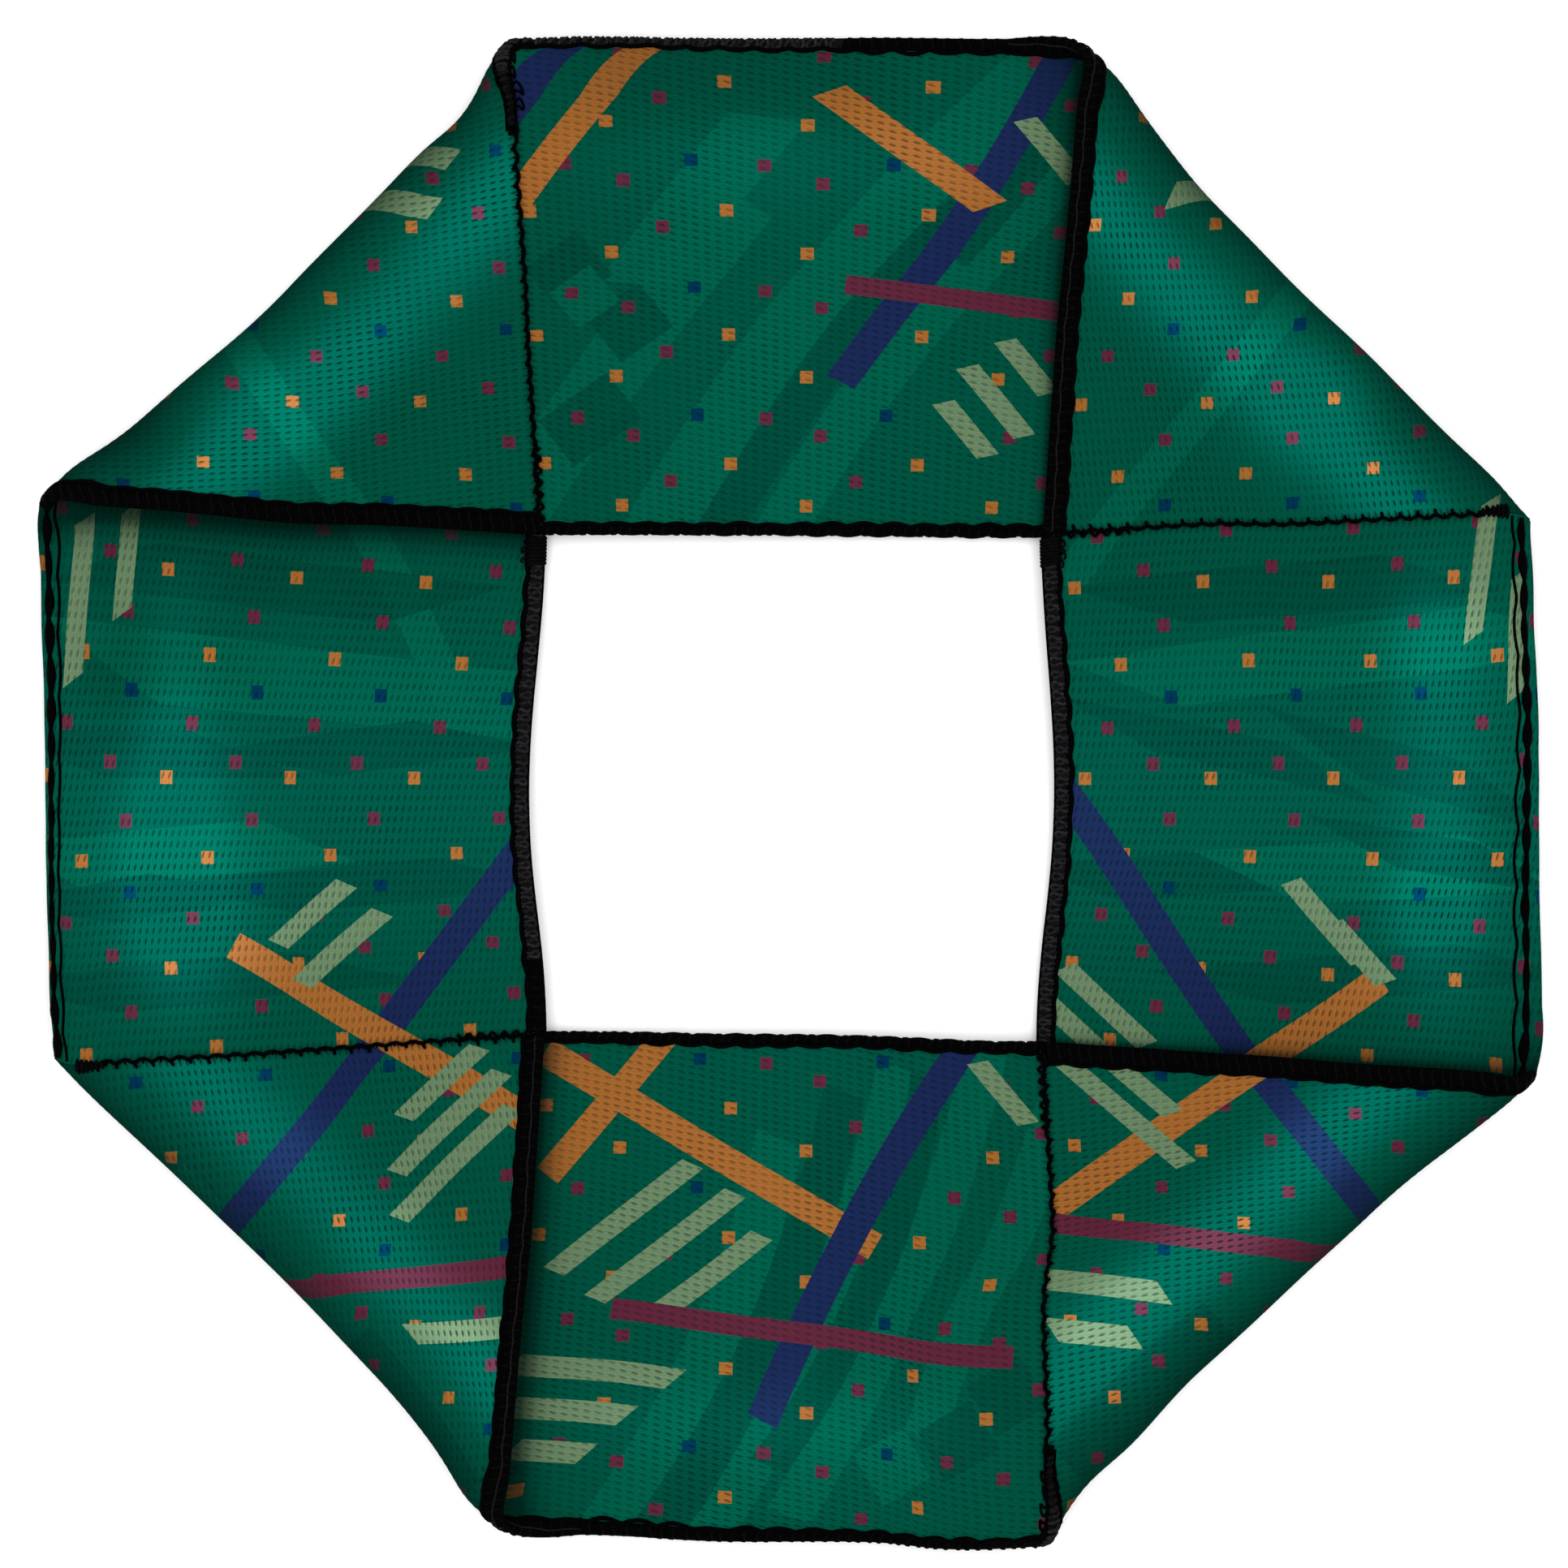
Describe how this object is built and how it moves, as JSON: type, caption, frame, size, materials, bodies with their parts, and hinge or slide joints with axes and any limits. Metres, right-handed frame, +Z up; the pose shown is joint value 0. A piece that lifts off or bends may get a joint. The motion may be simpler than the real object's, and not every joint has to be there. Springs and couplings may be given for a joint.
{
  "type": "neck gaiter",
  "caption": "Closed band of printed athletic mesh with overlocked edges, folded flat at its corners into an eight-sided ring round a square opening.",
  "frame": {"origin": "on the table, under the middle of the square opening", "axes": "+Z up, +X towards the right arm and +Y towards the top arm as the ring lies flat"},
  "size_m": [0.2163, 0.216, 0.0087],
  "materials": {
    "mesh_cloth": "matt warp-knit athletic mesh with small eyelets and an all-over geometric print on green",
    "black_thread": "matt black textured overlocking thread"
  },
  "bodies": {
    "root": {"top_panel": "mesh_cloth", "right_panel": "mesh_cloth", "bottom_panel": "mesh_cloth", "left_panel": "mesh_cloth", "top_inner_edge": "black_thread", "right_inner_edge": "black_thread", "bottom_inner_edge": "black_thread", "left_inner_edge": "black_thread", "top_outer_edge": "black_thread", "right_outer_edge": "black_thread", "bottom_outer_edge": "black_thread", "left_outer_edge": "black_thread", "top_flap_edge": "black_thread", "right_flap_edge": "black_thread", "bottom_flap_edge": "black_thread", "left_flap_edge": "black_thread", "top_right_seam": "black_thread", "bottom_right_seam": "black_thread", "bottom_left_seam": "black_thread", "top_left_seam": "black_thread", "top_right_tail": "black_thread", "bottom_right_tail": "black_thread", "bottom_left_tail": "black_thread", "top_left_tail": "black_thread", "top_right_tack": "black_thread", "top_left_tack": "black_thread"}
  },
  "joints": []
}
